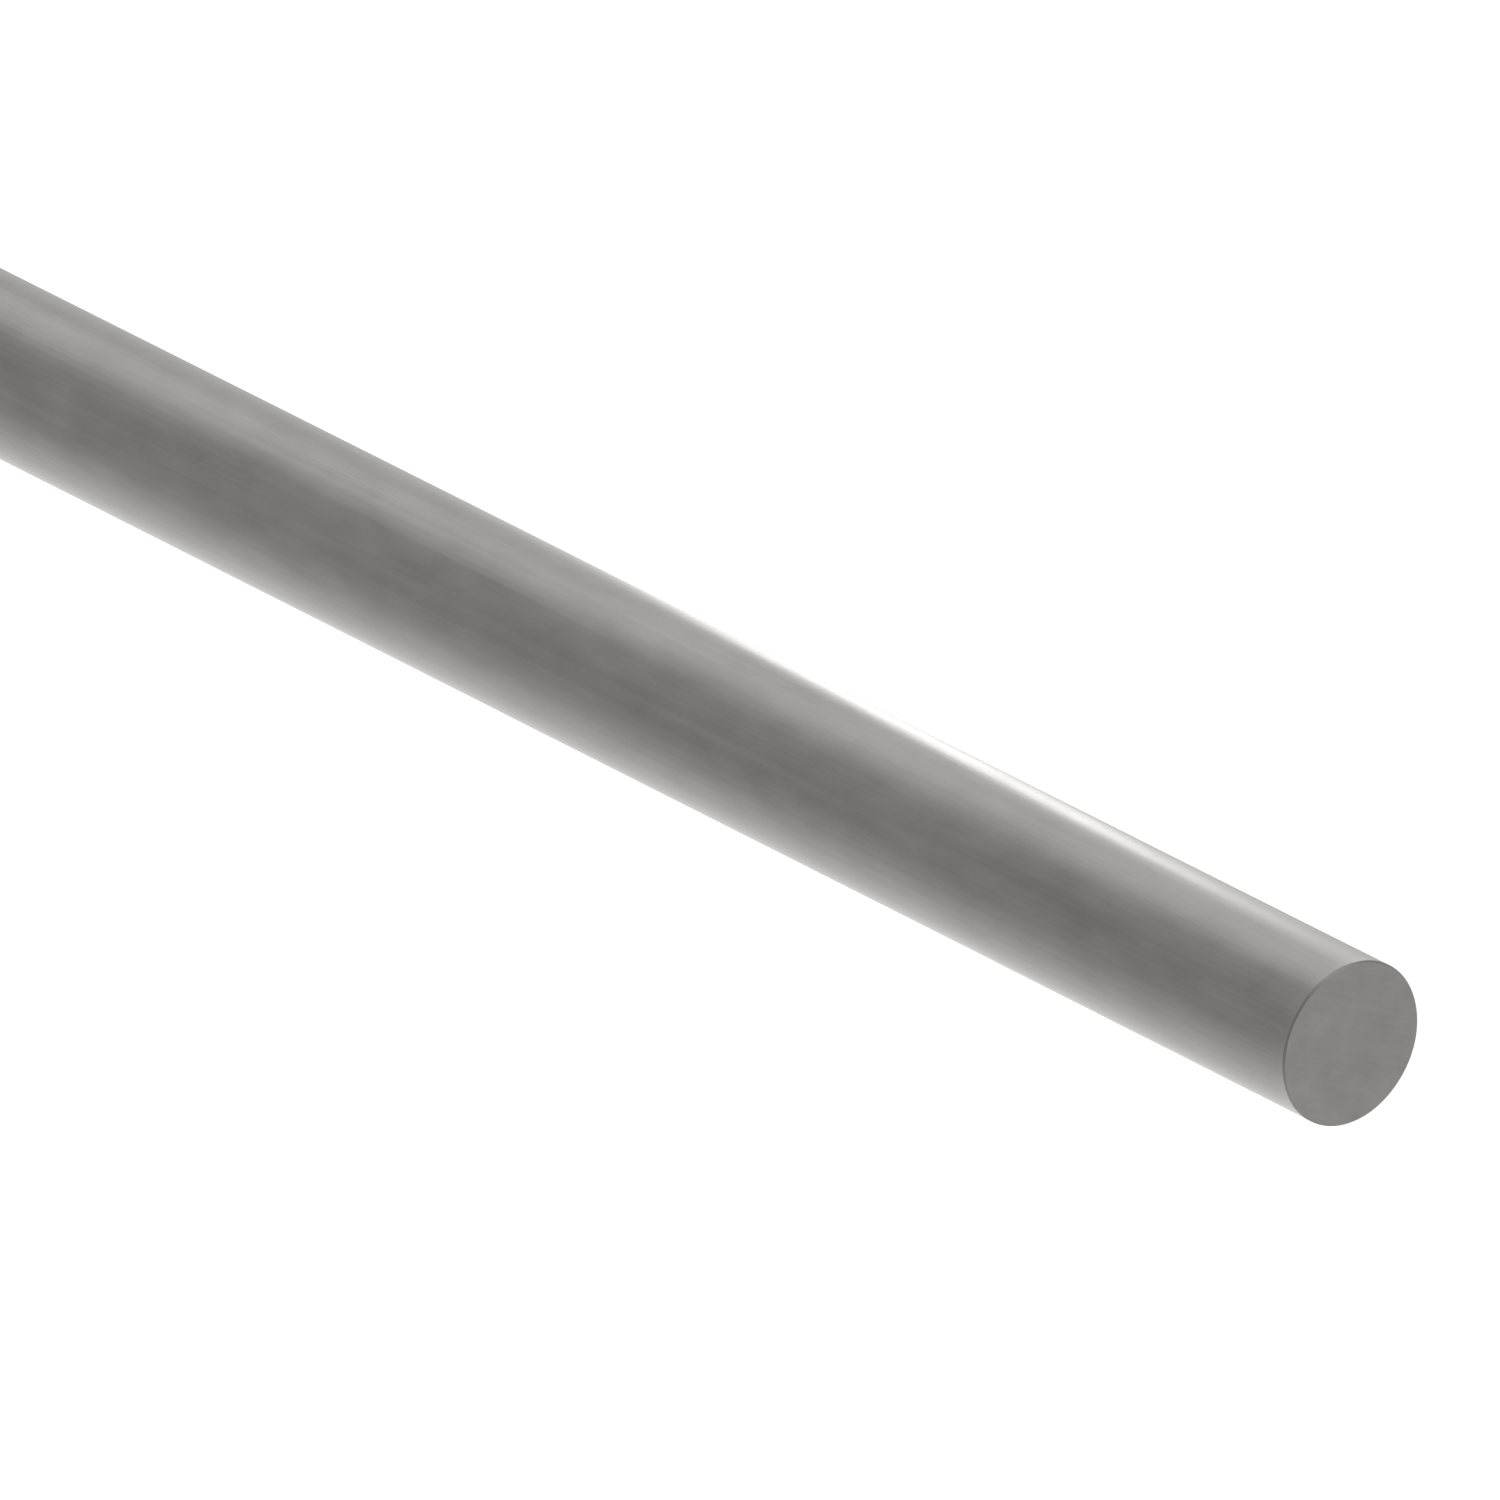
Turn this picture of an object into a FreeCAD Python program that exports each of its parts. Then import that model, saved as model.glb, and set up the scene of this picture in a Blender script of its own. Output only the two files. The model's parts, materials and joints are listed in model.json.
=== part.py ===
import FreeCAD, Part
import os
import Sketcher

# Round steel bar: one length of plain stock, lying on the floor along X.
# The near end, the one to the right, is at +X. The origin is on the floor,
# halfway along the bar and under its axis.

# One inch bright round in a two foot piece. Each end is sawn square, and its
# sharp corner is broken with a file. Millimetres throughout.
driving_sizes = {
    "bar_diameter": 25.4,
    "bar_length": 609.6,
    "edge_break": 0.3,
}


def make_size_sheet(doc):
    """The sheet that every feature of the bar takes its size from."""
    sheet = doc.addObject("Spreadsheet::Sheet", "Sizes")
    for row, (alias, value) in enumerate(driving_sizes.items(), start=1):
        sheet.set(f"A{row}", alias)
        sheet.set(f"B{row}", str(value))
        sheet.setAlias(f"B{row}", alias)
    doc.recompute()
    return sheet


def origin_plane(body, role):
    """One of the body's own three planes."""
    return next(plane for plane in body.Origin.OriginFeatures if plane.Role == role)


def draw_section(body):
    """The bar's round section, centred on its axis, on the plane across the bar."""
    section = body.newObject("Sketcher::SketchObject", "round_section")
    section.AttachmentSupport = (origin_plane(body, "YZ_Plane"), [""])
    section.MapMode = "FlatFace"
    centre, normal = FreeCAD.Vector(0, 0, 0), FreeCAD.Vector(0, 0, 1)
    circle = section.addGeometry(Part.Circle(centre, normal, driving_sizes["bar_diameter"] / 2))
    section.addConstraint(Sketcher.Constraint("Coincident", circle, 3, -1, 1))
    section.addConstraint(Sketcher.Constraint("Diameter", circle, driving_sizes["bar_diameter"]))
    section.renameConstraint(section.ConstraintCount - 1, "diameter")
    section.setExpression("Constraints.diameter", "Sizes.bar_diameter")
    return section


def run_out_length(body, section):
    """The section carried straight along the bar, half its length to each side."""
    length = body.newObject("PartDesign::Pad", "straight_length")
    length.Profile = section
    length.SideType = "Symmetric"
    length.setExpression("Length", "Sizes.bar_length")
    return length


def break_end_corners(doc, body, length):
    """The small 45 degree flat that takes the burr off both sawn ends."""
    doc.recompute()
    corners = [
        f"Edge{number}"
        for number, edge in enumerate(length.Shape.Edges, start=1)
        if isinstance(edge.Curve, Part.Circle)
    ]
    broken = body.newObject("PartDesign::Chamfer", "broken_corners")
    broken.Base = (length, corners)
    broken.setExpression("Size", "Sizes.edge_break")
    return broken


def make_round_bar(doc):
    """The bar itself, one solid, lying with its underside on the floor."""
    body = doc.addObject("PartDesign::Body", "round_bar")
    body.Label = "round_bar"
    section = draw_section(body)
    length = run_out_length(body, section)
    break_end_corners(doc, body, length)
    body.setExpression("Placement.Base.z", "Sizes.bar_diameter / 2")
    return body


def check_model(doc, bodies):
    """Stops with a plain message if a feature failed or a piece isn't one sound solid."""
    for item in doc.Objects:
        if "Invalid" in item.State or "Error" in item.State:
            raise RuntimeError(f"{item.Label} failed: {item.State}")
    for body in bodies:
        shape = body.Shape
        if shape.isNull() or not shape.isValid() or len(shape.Solids) != 1:
            raise RuntimeError(f"{body.Label} isn't one valid solid")


def write_parts(bodies):
    """One STEP file for each piece, named by its label."""
    os.makedirs("parts", exist_ok=True)
    for body in bodies:
        body.Shape.exportStep(f"parts/{body.Label}.step")
        box = body.Shape.BoundBox
        print(f"{body.Label}: {box.XLength:.2f} x {box.YLength:.2f} x {box.ZLength:.2f} mm")


doc = FreeCAD.newDocument("round_bar_stock")
make_size_sheet(doc)
bodies = [make_round_bar(doc)]
doc.recompute()
check_model(doc, bodies)
write_parts(bodies)
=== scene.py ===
import bmesh
import bpy
import json
import math
from mathutils import Matrix, Vector, noise


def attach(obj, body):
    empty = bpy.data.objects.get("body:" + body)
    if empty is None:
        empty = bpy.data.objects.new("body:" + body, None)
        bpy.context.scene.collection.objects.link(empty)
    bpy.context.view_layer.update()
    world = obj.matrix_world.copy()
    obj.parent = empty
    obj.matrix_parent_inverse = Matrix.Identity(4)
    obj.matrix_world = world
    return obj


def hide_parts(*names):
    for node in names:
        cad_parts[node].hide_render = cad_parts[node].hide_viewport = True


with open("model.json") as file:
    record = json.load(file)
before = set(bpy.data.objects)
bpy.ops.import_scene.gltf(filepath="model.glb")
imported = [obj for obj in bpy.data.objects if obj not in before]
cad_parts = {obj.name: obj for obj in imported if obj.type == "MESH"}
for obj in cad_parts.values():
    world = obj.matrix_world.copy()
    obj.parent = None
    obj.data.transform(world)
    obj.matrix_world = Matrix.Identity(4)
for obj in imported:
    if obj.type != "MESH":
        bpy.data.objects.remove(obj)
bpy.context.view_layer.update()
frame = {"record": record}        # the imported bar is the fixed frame

# Metres throughout. The bar lies along X on the floor at z = 0, its near end at +X.
mounts = {mount["name"]: mount for mount in frame["record"]["mounts"]}
wallDims = mounts["outer_wall"]["dims"]
barRadius = wallDims["r_mm"] / 1000
axisHeight = mounts["outer_wall"]["pos_m"][2]
nearEnd = mounts["near_end_face"]["pos_m"][0]
farEnd = mounts["far_end_face"]["pos_m"][0]
barLength = nearEnd - farEnd
cornerBreak = (barLength - wallDims["length_mm"] / 1000) / 2   # the filed flat on each end's corner
fullTurn = 2 * math.pi
photoSize = 1500                                               # pixels, each way
print("bar: %.4f m long, %.4f m across" % (barLength, 2 * barRadius))
print("corners broken by %.4f m" % cornerBreak)


class Wire:      # a node's output, which adds and scales like a number
    def __init__(self, bench, socket):
        self.bench = bench
        self.socket = socket

    def maths(self, operation, first, second=0.0):
        return self.bench.node("ShaderNodeMath", {"operation": operation}, {0: first, 1: second})

    def __add__(self, other):
        return self.maths("ADD", self, other)

    def __radd__(self, other):
        return self.maths("ADD", other, self)

    def __sub__(self, other):
        return self.maths("SUBTRACT", self, other)

    def __rsub__(self, other):
        return self.maths("SUBTRACT", other, self)

    def __mul__(self, other):
        return self.maths("MULTIPLY", self, other)

    def __rmul__(self, other):
        return self.maths("MULTIPLY", other, self)

    def __truediv__(self, other):
        return self.maths("DIVIDE", self, other)

    def __rtruediv__(self, other):
        return self.maths("DIVIDE", other, self)

    def __pow__(self, other):
        return self.maths("POWER", self, other)

    def __rpow__(self, other):
        return self.maths("POWER", other, self)

    def __abs__(self):
        return self.maths("ABSOLUTE", self)

    def atLeast(self, lowest):
        return self.maths("MAXIMUM", self, lowest)


class Bench:     # the nodes of one material
    def __init__(self, name):
        self.material = bpy.data.materials.new(name)
        self.material.use_nodes = True
        self.tree = self.material.node_tree
        self.tree.nodes.clear()

    def node(self, kind, settings, inputs, output=0):
        made = self.tree.nodes.new(kind)
        for name, value in settings.items():
            setattr(made, name, value)
        for name, value in inputs.items():
            if isinstance(value, Wire):
                self.tree.links.new(value.socket, made.inputs[name])
            else:
                made.inputs[name].default_value = value
        return Wire(self, made.outputs[output]) if made.outputs else made

    def place(self):                       # a point's own place on the piece, in metres
        return self.node("ShaderNodeTexCoord", {}, {}, "Object")

    def part(self, place, axis):           # its place along one axis
        return self.node("ShaderNodeSeparateXYZ", {}, {"Vector": place}, axis)

    def vectorMaths(self, operation, inputs):
        return self.node("ShaderNodeVectorMath", {"operation": operation}, inputs)

    def scaled(self, colour, amount):
        return self.vectorMaths("SCALE", {0: colour, "Scale": amount})

    # Noise centred on 0. Its repeats are per metre along each axis, its lean is about X.
    def speckle(self, place, look, lean=0.0):
        turned = self.node("ShaderNodeMapping", {}, {"Vector": place, "Rotation": (lean, 0.0, 0.0)})
        spread = self.vectorMaths("MULTIPLY", {0: turned, 1: look["repeats"]})
        values = {"Vector": spread, "Scale": 1.0, "Detail": look["detail"]}
        return self.node("ShaderNodeTexNoise", {}, values) - 0.5

    def steel(self, look, tone, roughness, height):      # tone is near 1, height is in metres
        relief = self.node("ShaderNodeBump", {}, {"Strength": 1.0, "Distance": 1.0, "Height": height})
        surface = self.node("ShaderNodeBsdfPrincipled", {}, {
            "Base Color": self.scaled(look["steel"], tone),
            "Metallic": 1.0,
            "Roughness": roughness,
            "Normal": relief,
        })
        return self.finished(surface)

    def finished(self, surface):
        self.node("ShaderNodeOutputMaterial", {}, {"Surface": surface})
        return self.material


# The wall: cold drawn, so its marks run along the bar, under a dull oiled grey.
wallLook = {
    "steel": (0.164, 0.161, 0.155),
    "roughness": 0.41,
    "wave": {"repeats": (22, 45, 45), "detail": 1.0, "height": 0.0001},
    "patch": {"repeats": (22, 60, 60), "detail": 3.0, "tone": 0.26, "roughness": 0.12},
    "mottle": {"repeats": (110, 230, 230), "detail": 3.0, "tone": 0.34, "roughness": 0.08},
    "drawLine": {"repeats": (5, 800, 800), "detail": 4.0, "tone": 0.24, "roughness": 0.05,
                 "height": 0.00001},
    "hairline": {"repeats": (22, 3400, 3400), "detail": 2.0, "tone": 0.18, "height": 0.000002},
    "rub": {"reach": 0.0018, "tone": 0.05, "roughness": -0.04},      # handled next to the corners
}


def drawnWall():
    look = wallLook
    bench = Bench("drawn_wall")
    place = bench.place()
    wave = bench.speckle(place, look["wave"])
    patch = bench.speckle(place, look["patch"])
    mottle = bench.speckle(place, look["mottle"])
    drawLine = bench.speckle(place, look["drawLine"])
    hairline = bench.speckle(place, look["hairline"])
    fromEnd = barLength / 2 - abs(bench.part(place, "X"))
    rub = math.e ** (fromEnd / -look["rub"]["reach"])
    tone = (1.0 + patch * look["patch"]["tone"] + mottle * look["mottle"]["tone"]
            + drawLine * look["drawLine"]["tone"] + hairline * look["hairline"]["tone"]
            + rub * look["rub"]["tone"])
    roughness = (look["roughness"] + patch * look["patch"]["roughness"]
                 + mottle * look["mottle"]["roughness"] + drawLine * look["drawLine"]["roughness"]
                 + rub * look["rub"]["roughness"])
    height = (wave * look["wave"]["height"] + drawLine * look["drawLine"]["height"]
              + hairline * look["hairline"]["height"])
    return bench.steel(look, tone, roughness, height)


# The end faces: bare metal, a little lighter, with the saw's fine lines across them.
sawnLook = {
    "steel": (0.219, 0.2135, 0.207),
    "roughness": 0.40,
    "lean": 0.42,                # of the saw lines, in radians from level
    "kerf": {"repeats": (1, 45, 1700), "detail": 3.0, "tone": 0.16, "roughness": 0.10,
             "height": 0.00003},
    "patch": {"repeats": (1, 190, 190), "detail": 3.0, "tone": 0.36},
}


def sawnEnd():
    look = sawnLook
    bench = Bench("sawn_end")
    place = bench.place()
    kerf = bench.speckle(place, look["kerf"], look["lean"])
    patch = bench.speckle(place, look["patch"])
    tone = 1.0 + kerf * look["kerf"]["tone"] + patch * look["patch"]["tone"]
    roughness = look["roughness"] + kerf * look["kerf"]["roughness"]
    return bench.steel(look, tone, roughness, kerf * look["kerf"]["height"])


# The filed corners: a narrow flat, given a darker steel as painted shade along the edge between end
# face and wall.
filedShadeLook = {
    # painted shade: this darker steel paints the shade along each end's corner
    "steel": (0.129, 0.126, 0.123),
    "roughness": 0.36,
    "nick": {"repeats": (2600, 2600, 2600), "detail": 2.0, "tone": 0.30, "height": 0.000015},
}


def filedCornerShade():
    look = filedShadeLook
    bench = Bench("filed_corner_painted_shade")
    nick = bench.speckle(bench.place(), look["nick"])
    tone = 1.0 + nick * look["nick"]["tone"]
    return bench.steel(look, tone, look["roughness"], nick * look["nick"]["height"])


# The bar's own shape, one lathe-like skin with its corners filed by hand.
barLook = {
    "sides": 192,                # round the bar
    "bays": 60,                  # along the wall
    "faceRings": 10,             # on each end face
    "fileWander": 0.16,          # how much the filed flat's width strays, as a share
    "fileScale": 1.7,            # more makes it stray more often round the rim
    "fileApart": 3.0,            # keeps one end's straying unlike the other's
    "stripTop": 0.70,            # on the flat map, the wall is a strip up to here
    "margin": 0.006,             # left free round the strip
    "discHigh": 0.86,            # and the end faces are two discs above it
    "discAcross": (0.16, 0.46),  # the far end's and the near end's
    "discReach": 0.13,           # from a disc's middle to its rim
}
wallMaterial, sawnMaterial, filedMaterial = range(3)


def filedWidth(turn, end):       # the flat's width at an angle round the bar
    spot = Vector((math.cos(turn), math.sin(turn), barLook["fileApart"] * end)) * barLook["fileScale"]
    return cornerBreak * (1.0 + barLook["fileWander"] * noise.noise(spot))


def turnAt(spot):                # the angle round the bar, from its underside
    return math.atan2(spot.y, axisHeight - spot.z)


def onStrip(spot, middle):       # a place on the wall, laid flat on its own face's side of the seam
    margin = barLook["margin"]
    turn = turnAt(spot)
    turn += fullTurn * round((turnAt(middle) % fullTurn - turn) / fullTurn)
    along = (spot.x - farEnd) / barLength
    high = turn / fullTurn * (barLook["stripTop"] - margin)
    return margin + along * (1 - 2 * margin), margin + high


def onDisc(spot, middle):        # a place on an end face or its filed flat, laid flat
    past = min(spot.x - farEnd, nearEnd - spot.x)
    slope = past * (math.sqrt(2) - 1)          # a flat at 45 degrees is this much longer
    out = Vector((spot.y, spot.z - axisHeight))
    out = out.normalized() * ((out.length + slope) / barRadius * barLook["discReach"])
    return barLook["discAcross"][int(middle.x > 0)] + out.x, barLook["discHigh"] + out.y


def layFlat(shape):              # a map of the whole skin, for materials that are kept as pictures
    flat = shape.loops.layers.uv.new("OFBake")
    for face in shape.faces:
        middle = face.calc_center_median()
        laid = onStrip if face.material_index == wallMaterial else onDisc
        for loop in face.loops:
            loop[flat].uv = laid(loop.vert.co, middle)


def makePiece(name, shape, materials):
    mesh = bpy.data.meshes.new(name)
    shape.to_mesh(mesh)
    shape.free()
    for material in materials:
        mesh.materials.append(material)
    piece = bpy.data.objects.new(name, mesh)
    bpy.context.scene.collection.objects.link(piece)
    print("%s: %d faces" % (name, len(mesh.polygons)))
    return piece


def makeBar():
    shape = bmesh.new()
    sides = barLook["sides"]
    turns = [fullTurn * side / sides for side in range(sides)]          # from the underside, round

    def ring(spots):             # spots holds x and the radius at each angle
        return [shape.verts.new((x, radius * math.sin(turn), axisHeight - radius * math.cos(turn)))
                for turn, (x, radius) in zip(turns, spots)]

    def cover(corners, material):
        face = shape.faces.new(corners)
        face.material_index = material
        face.smooth = True

    def skin(first, second, material):
        for side in range(sides):
            following = (side + 1) % sides
            cover((first[side], first[following], second[following], second[side]), material)

    def sharpen(around):
        for side in range(sides):
            edge = shape.edges.get((around[side], around[(side + 1) % sides]))
            edge.smooth = False

    def endRings(x, inward):     # from the middle of a face out to the wall
        widths = [filedWidth(turn, inward) for turn in turns]
        shares = [count / barLook["faceRings"] for count in range(1, barLook["faceRings"] + 1)]
        rings = [ring([(x, (barRadius - width) * share) for width in widths]) for share in shares]
        wallEdge = ring([(x + inward * width, barRadius) for width in widths])
        middle = shape.verts.new((x, 0.0, axisHeight))
        for side in range(sides):
            cover((middle, rings[0][side], rings[0][(side + 1) % sides]), sawnMaterial)
        for first, second in zip(rings, rings[1:]):
            skin(first, second, sawnMaterial)
        skin(rings[-1], wallEdge, filedMaterial)
        sharpen(rings[-1])
        sharpen(wallEdge)
        return wallEdge

    farEdge = endRings(farEnd, 1)
    nearEdge = endRings(nearEnd, -1)
    inset = 2 * cornerBreak      # the wall's even bays start clear of the filed flats
    bay = (barLength - 2 * inset) / barLook["bays"]
    wall = [farEdge]
    for count in range(barLook["bays"] + 1):
        wall.append(ring([(farEnd + inset + bay * count, barRadius)] * sides))
    wall.append(nearEdge)
    for first, second in zip(wall, wall[1:]):
        skin(first, second, wallMaterial)
    bmesh.ops.recalc_face_normals(shape, faces=shape.faces[:])
    layFlat(shape)
    bar = makePiece("steel_bar", shape, (drawnWall(), sawnEnd(), filedCornerShade()))
    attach(bar, "root")
    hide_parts("round_bar")


# The floor is a white light table, brighter under and beside the bar.
floorLook = {
    "side": 80.0,
    "brightness": 1.09,
    "glow": 1.04,                # added beside the bar
    "reach": 0.032,              # how far that goes to each side
    "short": 0.01,               # it starts to fade this far before the ends
    "slant": 1.0,                # sooner behind the bar and later before it
    "endReach": 0.004,           # and past there it goes this far
}


def makeFloor():
    half = floorLook["side"] / 2
    corners = ((-half, -half), (half, -half), (half, half), (-half, half))
    shape = bmesh.new()
    shape.faces.new([shape.verts.new((x, y, 0.0)) for x, y in corners])
    bench = Bench("light_table")
    place = bench.place()
    across = bench.part(place, "Y")
    fullTo = barLength / 2 - floorLook["short"] - across * floorLook["slant"]
    pastEnd = (abs(bench.part(place, "X")) - fullTo).atLeast(0.0) / floorLook["endReach"]
    aside = across / floorLook["reach"]
    away = pastEnd * pastEnd + aside * aside
    strength = floorLook["brightness"] + math.e ** (away * -1.0) * floorLook["glow"]
    light = bench.node("ShaderNodeEmission", {}, {"Color": bench.scaled((1.0, 1.0, 1.0), strength)})
    floor = makePiece("light_table", shape, [bench.finished(light)])


# Soft studio light. Brightness is the light's own radiance, added to the white room's.
# A light that faces a place along the bar stands upright and points level at it.
# The others lie along the bar and point at its middle.
roomBrightness = 1.06
lightLook = {
    "overhead_wide": {"centre": (0.0, 0.19, 0.52), "wide": 1.04, "long": 3.0, "brightness": 0.15},
    "overhead_core": {"centre": (0.0, 0.187, 0.51), "wide": 0.51, "long": 3.0, "brightness": 1.06},
    "rear_tall": {"centre": (-0.094, 0.377, 0.123), "faces": 0.22,
                  "wide": 0.048, "long": 0.236, "brightness": 1.23},
    "rear_slim": {"centre": (-0.036, 0.259, 0.106), "faces": 0.22,
                  "wide": 0.028, "long": 0.125, "brightness": 10.1},
    "rear_low": {"centre": (0.015, 0.185, 0.016), "faces": 0.22,
                 "wide": 0.066, "long": 0.03, "brightness": 5.4},
    "far_wall": {"centre": (-3.0, 2.5, 0.61), "faces": -3.0,
                 "wide": 12.0, "long": 1.2, "brightness": 0.4},
}


def makeLight(name, look):
    light = bpy.data.lights.new(name, "AREA")
    light.shape = "RECTANGLE"
    light.size = look["wide"]
    light.size_y = look["long"]
    light.energy = look["brightness"] * math.pi * look["wide"] * look["long"]      # watts
    lamp = bpy.data.objects.new(name, light)
    bpy.context.scene.collection.objects.link(lamp)
    centre = Vector(look["centre"])
    if "faces" in look:
        aim = Vector((look["faces"], 0.0, centre.z))
        upright = Vector((0.0, 0.0, 1.0))
    else:
        aim = Vector((0.0, 0.0, axisHeight))
        upright = Vector((1.0, 0.0, 0.0))
    back = (centre - aim).normalized()
    side = upright.cross(back).normalized()
    turn = Matrix((side, back.cross(side), back)).transposed()
    lamp.matrix_world = Matrix.Translation(centre) @ turn.to_4x4()


def makeLights():
    world = bpy.data.worlds.new("white_room")
    bpy.context.scene.world = world
    world.use_nodes = True
    background = world.node_tree.nodes["Background"]
    background.inputs["Color"].default_value = (1.0, 1.0, 1.0, 1.0)
    background.inputs["Strength"].default_value = roomBrightness
    for name, look in lightLook.items():
        makeLight(name, look)
    print("lights: %d" % len(lightLook))


# The camera, by where the near end's centre and width lie in the photograph.
cameraLook = {
    "azimuth": 50.75,            # degrees
    "elevation": 24.3,
    "lens": 1680.0,              # millimetres, long enough for the bar's sides to stay parallel
    "endAcross": 1351.2,         # pixels, of the near end's centre
    "endDown": 1043.9,
    "endWidth": 175.4,           # and across the near end
}


def makeCamera():
    turn = math.radians(cameraLook["azimuth"])
    rise = math.radians(cameraLook["elevation"])
    right = Vector((math.cos(turn), math.sin(turn), 0.0))
    level = Vector((math.sin(turn), -math.cos(turn), 0.0))           # from the bar to under the camera
    back = level * math.cos(rise) + Vector((0.0, 0.0, math.sin(rise)))
    up = back.cross(right)
    camera = bpy.data.objects.new("camera", bpy.data.cameras.new("camera"))
    bpy.context.scene.collection.objects.link(camera)
    camera.data.lens = cameraLook["lens"]
    pixel = 2 * barRadius / cameraLook["endWidth"]         # metres to a pixel, at the near end
    distance = cameraLook["lens"] / camera.data.sensor_width * photoSize * pixel
    across = (cameraLook["endAcross"] - photoSize / 2) * pixel
    down = (cameraLook["endDown"] - photoSize / 2) * pixel
    endCentre = Vector((nearEnd, 0.0, axisHeight))
    camera.location = endCentre - right * across + up * down + back * distance
    camera.rotation_mode = "QUATERNION"
    camera.rotation_quaternion = Matrix((right, up, back)).transposed().to_quaternion()
    camera.data.clip_start = distance / 100
    camera.data.clip_end = distance * 10
    bpy.context.scene.camera = camera
    print("camera: %.2f m away" % distance)


def plainColours():              # as they are lit, with no film look
    settings = bpy.context.scene.view_settings
    settings.view_transform = "Standard"
    settings.look = "None"
    settings.exposure = 0.0
    settings.gamma = 1.0


makeCamera()
makeBar()
makeFloor()
makeLights()
plainColours()
